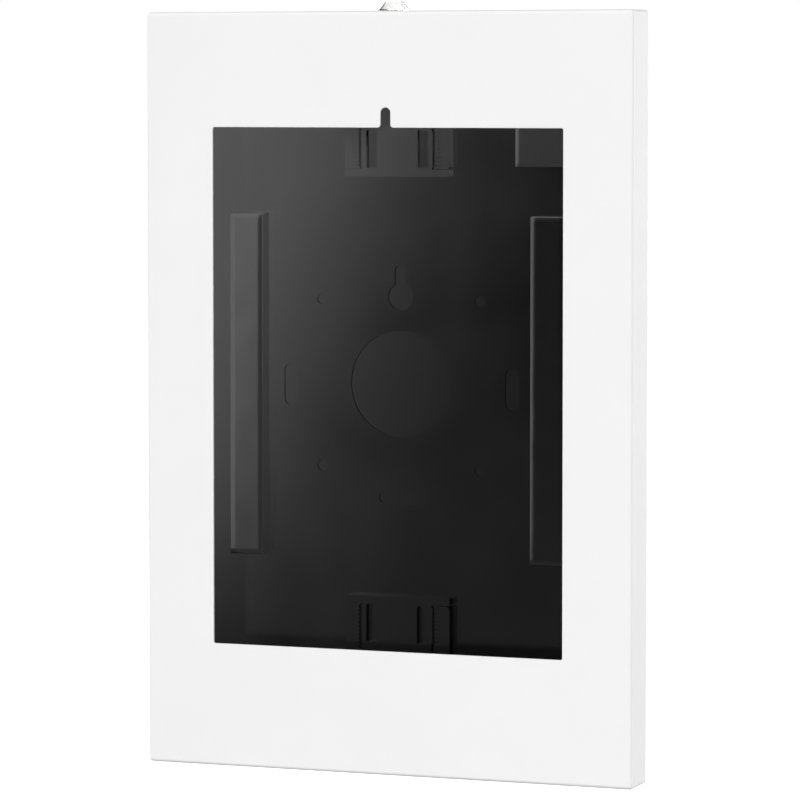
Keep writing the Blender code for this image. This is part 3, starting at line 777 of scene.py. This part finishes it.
def turned_housing(name, profile, finish):
    """The closed profile spun about the lock's axis. It has a bore, so it needs no poles."""
    shape = bmesh.new()
    rings = [lock_ring(shape, radius, height) for radius, height in profile]
    for ring, above in zip(rings, rings[1:] + rings[:1]):
        for i in range(LOCK_SIDES):
            j = (i + 1) % LOCK_SIDES
            shape.faces.new((ring[i], ring[j], above[j], above[i]))
    return from_shape(name, shape, finish, LOCK_SHARP)


housing = turned_housing("lock_bezel", lock_profile, nickel)
dress(housing, "cover", "nickel", "lock_housing")


# %% [markdown]
# ## The lock's other pieces
#
# The plug with its key slot turns in the housing and carries the cam's arm. A nut clamps the housing to the
# cover, and the arm's finger turns behind a strap on the plate. Their solids have the right form already,
# so they only get softened edges, as stamped and turned metal has.

# %% The lock's other pieces
PLUG_EDGE, CAM_EDGE, STAMPED_EDGE = 0.00012, 0.00018, 0.0002
dress(softened("lock_core", "lock_plug", PLUG_EDGE, nickel), "lock", "nickel", "lock_plug")
dress(softened("lock_ring_nut", "lock_nut", STAMPED_EDGE, zinc), "cover", "zinc", "lock_nut")
dress(softened("lock_arm", "lock_cam", CAM_EDGE, zinc), "lock", "zinc", "lock_cam")
dress(softened("catch_strap", "lock_catch", STAMPED_EDGE, zinc), "plate", "zinc", "lock_catch")


# %% [markdown]
# ## Fixings
#
# The rails' screws, the catch's rivets and the hinge studs come in pairs. One of each is modelled, and
# Geometry Nodes set out the rest: a short line of points, the fixing on each point, turned by a fixed
# angle from one to the next. Realize Instances makes them real faces, because instances aren't exported.

# %% The tree that sets fixings out
FIXING_INPUTS = {
    "Fixing": "NodeSocketObject", "Count": "NodeSocketInt", "First": "NodeSocketVector",
    "Step": "NodeSocketVector", "Stand": "NodeSocketVector", "Turn per step": "NodeSocketFloat",
    "Finish": "NodeSocketMaterial",
}


def fixing_tree():
    """Geometry Nodes: a row of one fixing, each turned from the one before."""
    tree = bpy.data.node_groups.new("row_of_fixings", "GeometryNodeTree")
    for label, kind in FIXING_INPUTS.items():
        tree.interface.new_socket(label, in_out="INPUT", socket_type=kind)
    tree.interface.new_socket("Geometry", in_out="OUTPUT", socket_type="NodeSocketGeometry")
    given = tree.nodes.new("NodeGroupInput").outputs
    line = tree.nodes.new("GeometryNodeMeshLine")
    fixing = tree.nodes.new("GeometryNodeObjectInfo")
    number = tree.nodes.new("GeometryNodeInputIndex")
    times = tree.nodes.new("ShaderNodeMath")
    times.operation = "MULTIPLY"
    about_z = tree.nodes.new("ShaderNodeCombineXYZ")
    total = tree.nodes.new("ShaderNodeVectorMath")
    setter = tree.nodes.new("GeometryNodeInstanceOnPoints")
    real = tree.nodes.new("GeometryNodeRealizeInstances")
    coat = tree.nodes.new("GeometryNodeSetMaterial")
    out = tree.nodes.new("NodeGroupOutput")
    link(tree, given["Count"], line.inputs["Count"])
    link(tree, given["First"], line.inputs["Start Location"])
    link(tree, given["Step"], line.inputs["Offset"])
    link(tree, given["Fixing"], fixing.inputs["Object"])
    link(tree, number.outputs[0], times.inputs[0])
    link(tree, given["Turn per step"], times.inputs[1])
    link(tree, times.outputs[0], about_z.inputs["Z"])
    link(tree, given["Stand"], total.inputs[0])
    link(tree, about_z.outputs[0], total.inputs[1])
    link(tree, line.outputs["Mesh"], setter.inputs["Points"])
    link(tree, fixing.outputs["Geometry"], setter.inputs["Instance"])
    link(tree, total.outputs[0], setter.inputs["Rotation"])
    link(tree, setter.outputs[0], real.inputs["Geometry"])
    link(tree, real.outputs[0], coat.inputs["Geometry"])
    link(tree, given["Finish"], coat.inputs["Material"])
    link(tree, coat.outputs[0], out.inputs["Geometry"])
    return tree


row_of_fixings = fixing_tree()
print(row_of_fixings.name, "has", len(row_of_fixings.nodes), "nodes")


# %% A pair made by the tree
FACING_ROOM = (math.pi / 2, 0, 0)


def pair_of(name, fixing, first, apart, stand, turn=0.0):
    """Two of a fixing, so far apart along X, the second turned by an angle about Z."""
    maker = to_scene(name, bpy.data.meshes.new(name))
    step = maker.modifiers.new("row", "NODES")
    step.node_group = row_of_fixings
    sockets = {item.name: item.identifier for item in row_of_fixings.interface.items_tree}
    values = {
        "Fixing": fixing, "Count": 2, "First": first, "Step": (apart, 0, 0),
        "Stand": stand, "Turn per step": turn, "Finish": fixing.data.materials[0],
    }
    for label, value in values.items():
        step[sockets[label]] = value
    return plain_mesh(maker)


def centre_of(node):
    low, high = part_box(node)
    return (low + high) / 2


def across_from(left_node, right_node):
    """The centre of one node, and how far along X the other one lies."""
    left = centre_of(left_node)
    return left, centre_of(right_node).x - left.x


# %% [markdown]
# ## Rail screws
#
# Each rail is held by two small button-head screws with a hexagon socket. Half of a screw's outline, from
# tip to crown, is spun about Z as a lathe would turn it, and a Boolean cuts the socket out. The dome is an
# arc, so its roundness comes from one radius and not from a list of points.

# %% A fixing spun from its profile
SPIN_SIDES, SPIN_SHARP, ON_AXIS = 40, 35, 0.000001


def solid_of_turn(name, profile, finish):
    """A (radius, height) profile from axis to axis, spun about Z."""
    shape = bmesh.new()
    corners = [shape.verts.new((radius, 0, height)) for radius, height in profile]
    edges = [shape.edges.new(pair) for pair in zip(corners, corners[1:])]
    bmesh.ops.spin(
        shape, geom=corners + edges, cent=(0, 0, 0), axis=(0, 0, 1), angle=math.tau, steps=SPIN_SIDES
    )
    bmesh.ops.remove_doubles(shape, verts=shape.verts, dist=ON_AXIS)
    return from_shape(name, shape, finish, SPIN_SHARP)


def cut_hexagon(piece, across, top, depth):
    """A hexagon socket cut into a fixing from its top."""
    bpy.ops.mesh.primitive_cylinder_add(
        vertices=6, radius=across / 2 / math.cos(math.pi / 6), depth=2 * depth, location=(0, 0, top)
    )
    hexagon = bpy.context.object
    cut = piece.modifiers.new("socket", "BOOLEAN")
    cut.operation, cut.solver, cut.object = "DIFFERENCE", "EXACT", hexagon
    plain_mesh(piece)
    bpy.data.objects.remove(hexagon)


def arc(centre, radius, start, end, count):
    """Points of an arc in a profile, from one angle to another in degrees, in so many steps."""
    turns = [math.radians(start + (end - start) * i / count) for i in range(count + 1)]
    return [(centre[0] + radius * math.cos(t), centre[1] + radius * math.sin(t)) for t in turns]


# %% One rail screw
screw_low, screw_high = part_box("top_rail_screw_left")
head = (screw_high.x - screw_low.x) / 2
HEAD_HEIGHT, HEAD_EDGE, HEAD_SIDE, HEAD_ROUND, CROWN_SHARE = 0.0018, 0.0001, 0.0006, 0.0011, 0.55
DOME_START, DOME_END, DOME_STEPS = 8, 70, 7
SHANK, SHANK_TAPER = 0.0015, 0.0003
SOCKET_ACROSS, SOCKET_DEPTH = 0.002, 0.0011
length = screw_high.y - screw_low.y - HEAD_HEIGHT
shank_side = [
    (0, -length), (SHANK - SHANK_TAPER, -length), (SHANK, SHANK_TAPER - length), (SHANK, 0)
]
head_side = [(head - HEAD_EDGE, 0), (head, HEAD_EDGE), (head, HEAD_SIDE)]
dome = arc((head - HEAD_ROUND, HEAD_SIDE), HEAD_ROUND, DOME_START, DOME_END, DOME_STEPS)
crown = [(head * CROWN_SHARE, HEAD_HEIGHT), (0, HEAD_HEIGHT)]
screw = solid_of_turn("one_screw", shank_side + head_side + dome + crown, black_oxide)
cut_hexagon(screw, SOCKET_ACROSS, HEAD_HEIGHT, SOCKET_DEPTH)
print("one screw,", round(2000 * head, 2), "mm over its head and", round(1000 * length, 2), "mm long")


# %% The rails' four screws
def joined(name, parts):
    """Several meshes as one piece."""
    shape = bmesh.new()
    for part in parts:
        shape.from_mesh(part.data)
    mesh = bpy.data.meshes.new(name)
    shape.to_mesh(mesh)
    shape.free()
    mesh.materials.append(parts[0].data.materials[0])
    for part in parts:
        bpy.data.objects.remove(part)
    return to_scene(name, mesh)


rows = []
for end in ("top", "bottom"):
    left_screw, apart = across_from(f"{end}_rail_screw_left", f"{end}_rail_screw_right")
    first = (left_screw.x, screw_low.y + HEAD_HEIGHT, left_screw.z)
    rows.append(pair_of(f"{end}_row", screw, first, apart, FACING_ROOM))
bpy.data.objects.remove(screw)
dress(
    joined("rail_screws", rows), "plate", "black_steel",
    *(f"{end}_rail_screw_{hand}" for end in ("top", "bottom") for hand in ("left", "right")),
)


# %% The cam's screw
CAM_SCREW_EDGE = 0.00015
dress(softened("cam_bolt", "cam_screw", CAM_SCREW_EDGE, zinc), "lock", "zinc", "cam_screw")


# %% [markdown]
# ## Catch rivets
#
# Two rivets hold the catch's strap to the plate. A rivet's head is a low dome, part of a much larger ball,
# so its arc's centre lies below the head. The arc is held inside the head's own width and height, which
# leaves a narrow upright rim like that of a pressed rivet.

# %% Catch rivets
rivet_low, rivet_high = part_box("catch_rivet_left")
wide = (rivet_high.x - rivet_low.x) / 2
RIVET_HEAD, RIVET_RIM = 0.0013, 0.00015
CAP_CENTRE, CAP_RADIUS = (0, -0.0021), 0.0034
CAP_START, CAP_END, CAP_STEPS = 38, 88, 10
STEM, STEM_END, STEM_CHAMFER = 0.0016, 0.0014, 0.0002
stem_length = rivet_high.y - rivet_low.y - RIVET_HEAD
stem_side = [(0, -stem_length), (STEM_END, -stem_length), (STEM, STEM_CHAMFER - stem_length), (STEM, 0)]
cap_rim = [(wide - RIVET_RIM, 0), (wide, RIVET_RIM)]
cap_arc = arc(CAP_CENTRE, CAP_RADIUS, CAP_START, CAP_END, CAP_STEPS)[1:]
cap = [(min(radius, wide), max(height, RIVET_RIM)) for radius, height in cap_rim + cap_arc]
cap.append((0, RIVET_HEAD))
rivet = solid_of_turn("one_rivet", stem_side + cap, zinc)
left_rivet, apart = across_from("catch_rivet_left", "catch_rivet_right")
first = (left_rivet.x, rivet_low.y + RIVET_HEAD, left_rivet.z)
rivets = pair_of("catch_rivets", rivet, first, apart, FACING_ROOM)
bpy.data.objects.remove(rivet)
dress(rivets, "plate", "zinc", "catch_rivet_left", "catch_rivet_right")


# %% [markdown]
# ## Hinge studs
#
# The cover tips forward on two collared studs, one inside each lower corner. They mirror one another, and
# a half turn is the same as a mirror for a turned piece, so the tree turns the second one round by 180
# degrees. That keeps its faces pointing outwards, where a negative scale would turn them inside out.

# %% Hinge studs
stud_low, stud_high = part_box("hinge_stud_left")
collar = (stud_high.z - stud_low.z) / 2
run = stud_high.x - stud_low.x
COLLAR_SIDE, COLLAR_DEPTH, COLLAR_EDGE = 0.0009, 0.001, 0.0001
PIN, PIN_START, PIN_TAPER = 0.0015, 0.0011, 0.0004
collar_side = [
    (0, 0), (collar - COLLAR_EDGE, 0), (collar, COLLAR_EDGE), (collar, COLLAR_SIDE),
    (collar - COLLAR_EDGE, COLLAR_DEPTH),
]
pin_side = [
    (PIN + COLLAR_EDGE, COLLAR_DEPTH), (PIN, PIN_START), (PIN, run - PIN_TAPER),
    (PIN - PIN_TAPER, run), (0, run),
]
stud = solid_of_turn("one_stud", collar_side + pin_side, zinc)
left_stud = centre_of("hinge_stud_left")
first = (stud_low.x, left_stud.y, left_stud.z)
studs = pair_of("hinge_studs", stud, first, -2 * stud_low.x, (0, math.pi / 2, 0), turn=math.pi)
bpy.data.objects.remove(stud)
dress(studs, "cover", "zinc", "hinge_stud_left", "hinge_stud_right")


# %% [markdown]
# ## Soft boxes
#
# White paint and glossy black steel want opposite light. The white takes even light from big boxes in
# front and at the sides. The same boxes must stay out of the black plate's mirror direction, or it turns
# grey. In a studio black flags would shade it. Here light linking does that: a lamp's receiver collection
# says what it leaves unlit, and its blocker collection what it shines through. Both list the pieces to
# leave out, so a new piece is lit unless it is named.

# %% A soft box
def leave_out(light, role, pieces):
    """The light doesn't reach the pieces, or isn't blocked by them."""
    spared = bpy.data.collections.new(f"{light.name}_{role}")
    for piece in pieces:
        spared.objects.link(piece)
    for item in spared.collection_objects:
        item.light_linking.link_state = "EXCLUDE"
    setattr(light.light_linking, role + "_collection", spared)


def soft_box(name, place, aim, size, watts, unlit=(), through=()):
    """A rectangular lamp turned to a point. It shines through what it leaves unlit, and through more."""
    lamp = bpy.data.lights.new(name, "AREA")
    lamp.shape = "RECTANGLE"
    lamp.size, lamp.size_y = size
    lamp.energy = watts
    light = to_scene(name, lamp)
    light.location = place
    light.rotation_euler = (Vector(aim) - Vector(place)).to_track_quat("-Z", "Y").to_euler()
    if unlit:
        leave_out(light, "receiver", unlit)
        leave_out(light, "blocker", (*unlit, *through))
    print(name, watts, "W,", len(unlit), "pieces unlit")
    return light


# %% [markdown]
# ## The sheen on the plate
#
# The plate's diagonal sheen is the reflection of one big box at the left. The coat's roughness blurs the
# box's edge, which makes the slow fade. The cover would be unevenly lit by it, so it is left out, and
# nothing in front of the plate shades the sheen. A small box at the right with a narrow beam, like one with
# a grid, picks out the left strip, the corner pad and the top clamp.

# %% The sheen on the plate
SHEEN_AIM, GRID_AIM = (0, 0, 0.05), (-0.05, 0, 0.14)
GRID_BEAM = 22
foams = [left_foam, right_foam, corner_foam]
on_plate = clamp_pieces + foams
dark_pieces = [plate] + on_plate
soft_box(
    "sheen_box", (-0.637, -0.395, 0.543), SHEEN_AIM, size=(1.518, 1.792), watts=20.0,
    unlit=(cover, housing), through=on_plate,
)
picked_out = [left_foam, corner_foam] + [piece for piece in clamp_pieces if piece.name.startswith("top_")]
grid = soft_box(
    "grid_box", (0.80, -0.30, 0.55), GRID_AIM, size=(0.2, 0.3), watts=2.9,
    unlit=(cover, dark_cards, *(piece for piece in dark_pieces if piece not in picked_out)),
)
grid.data.spread = math.radians(GRID_BEAM)


# %% [markdown]
# ## Light for the white case
#
# One big box high in front lights the cover's face, and a weak strip low in front evens its foot. The black
# pieces are left out of both. A box at the right, one at the left and one behind at the right light the
# flanks. A ceiling box is there for the lock and the other metal pieces, and the case and the black pieces
# are left out of it.

# %% Light for the white case
middle = (solid_box[0] + solid_box[1]) / 2
all_dark = (*dark_pieces, dark_cards)
soft_box("top_box", (0.35, -4.2, 2.5), middle, size=(2.6, 2.0), watts=210.0, unlit=all_dark)
soft_box("low_box", (0.15, -1.1, -0.27), middle, size=(1.2, 0.15), watts=2.4, unlit=all_dark)
soft_box("right_box", (2.8, -1.7, 1.1), middle, size=(1.6, 1.6), watts=6.0)
soft_box("left_box", (-3.0, 0.3, 1.4), middle, size=(1.4, 1.6), watts=50.0, unlit=(housing,))
soft_box("side_box", (1.7, 1.4, 0.3), middle, size=(1.2, 1.2), watts=45.0)
soft_box("ceiling_box", (0.1, 0.1, 1.5), middle, size=(2.4, 2.4), watts=18.0, unlit=(cover, *all_dark))


# %% [markdown]
# ## Light from behind
#
# The object is also seen from the back, where the front lights don't reach. One box lights the black
# plate's back, and a weaker one on the other side puts a soft sheen on it. Neither lights the cover, whose
# side would be too bright in the front view. The Standard view transform keeps white as white, where a
# filmic one would turn it grey.

# %% Light from behind
soft_box("back_box", (-1.6, 2.2, 1.0), middle, size=(1.6, 1.6), watts=60.0, unlit=(cover,))
soft_box("back_sheen_box", (0.9, 2.0, 0.9), middle, size=(1.2, 1.2), watts=14.0, unlit=(cover,))
bpy.context.scene.view_settings.view_transform = "Standard"
print("view transform:", bpy.context.scene.view_settings.view_transform)


# %% The end
print("solids", [round(part, 4) for part in solid_box[1] - solid_box[0]])
